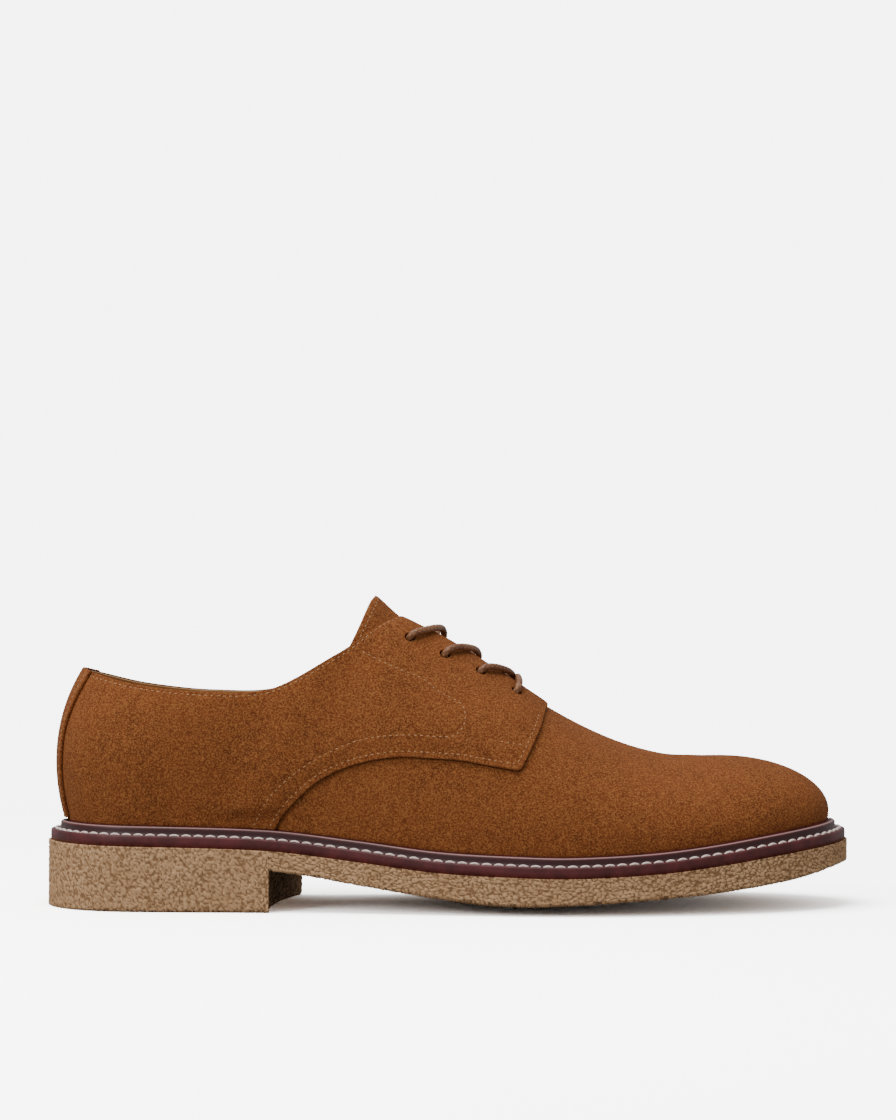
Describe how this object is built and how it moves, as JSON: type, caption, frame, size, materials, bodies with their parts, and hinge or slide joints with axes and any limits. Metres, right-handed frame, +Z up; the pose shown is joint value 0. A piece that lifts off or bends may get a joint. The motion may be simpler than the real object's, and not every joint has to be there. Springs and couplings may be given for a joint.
{
  "type": "suede derby shoe",
  "caption": "Laced derby shoe in brown suede with a storm welt and a textured crepe sole, right foot, standing on its heel and tread.",
  "frame": {"origin": "on the ground under the middle of the sole's outline", "axes": "+X from heel to toe, -Y towards the outer side of the foot, +Z up"},
  "size_m": [0.3046, 0.106, 0.1179],
  "materials": {
    "suede": "napped suede, matt",
    "welt_leather": "burgundy leather welt, waxed, satin",
    "crepe_rubber": "tan crepe, pitted and wrinkled, matt",
    "thread": "pale waxed thread",
    "lace_cord": "brown round waxed cord",
    "aglet_film": "brown film",
    "lining_leather": "smooth natural lining leather",
    "fibre_board": "stiff fibre board",
    "cork": "granulated cork",
    "steel": "blued spring steel"
  },
  "bodies": {
    "shoe": {"crepe_sole": "crepe_rubber", "storm_welt": "welt_leather", "welt_stitching": "thread", "cork_filler": "cork", "steel_shank": "steel", "insole_board": "fibre_board", "sock_liner": "lining_leather", "vamp": "suede", "outer_quarter": "suede", "inner_quarter": "suede", "back_strip": "suede", "vamp_lining": "lining_leather", "outer_quarter_lining": "lining_leather", "inner_quarter_lining": "lining_leather", "heel_counter": "fibre_board", "toe_puff": "fibre_board", "lace": "lace_cord", "outer_aglet": "aglet_film", "inner_aglet": "aglet_film"},
    "tongue": {"tongue": "suede", "tongue_lining": "lining_leather"}
  },
  "joints": [
    {"name": "tongue_fold", "type": "hinge", "parent": "shoe", "child": "tongue", "pos_m": [0.034, 0.001, 0.0685], "axis": [0, -1, 0], "range_deg": [0, 15], "stiffness_Nm_per_rad": 0.4}
  ]
}
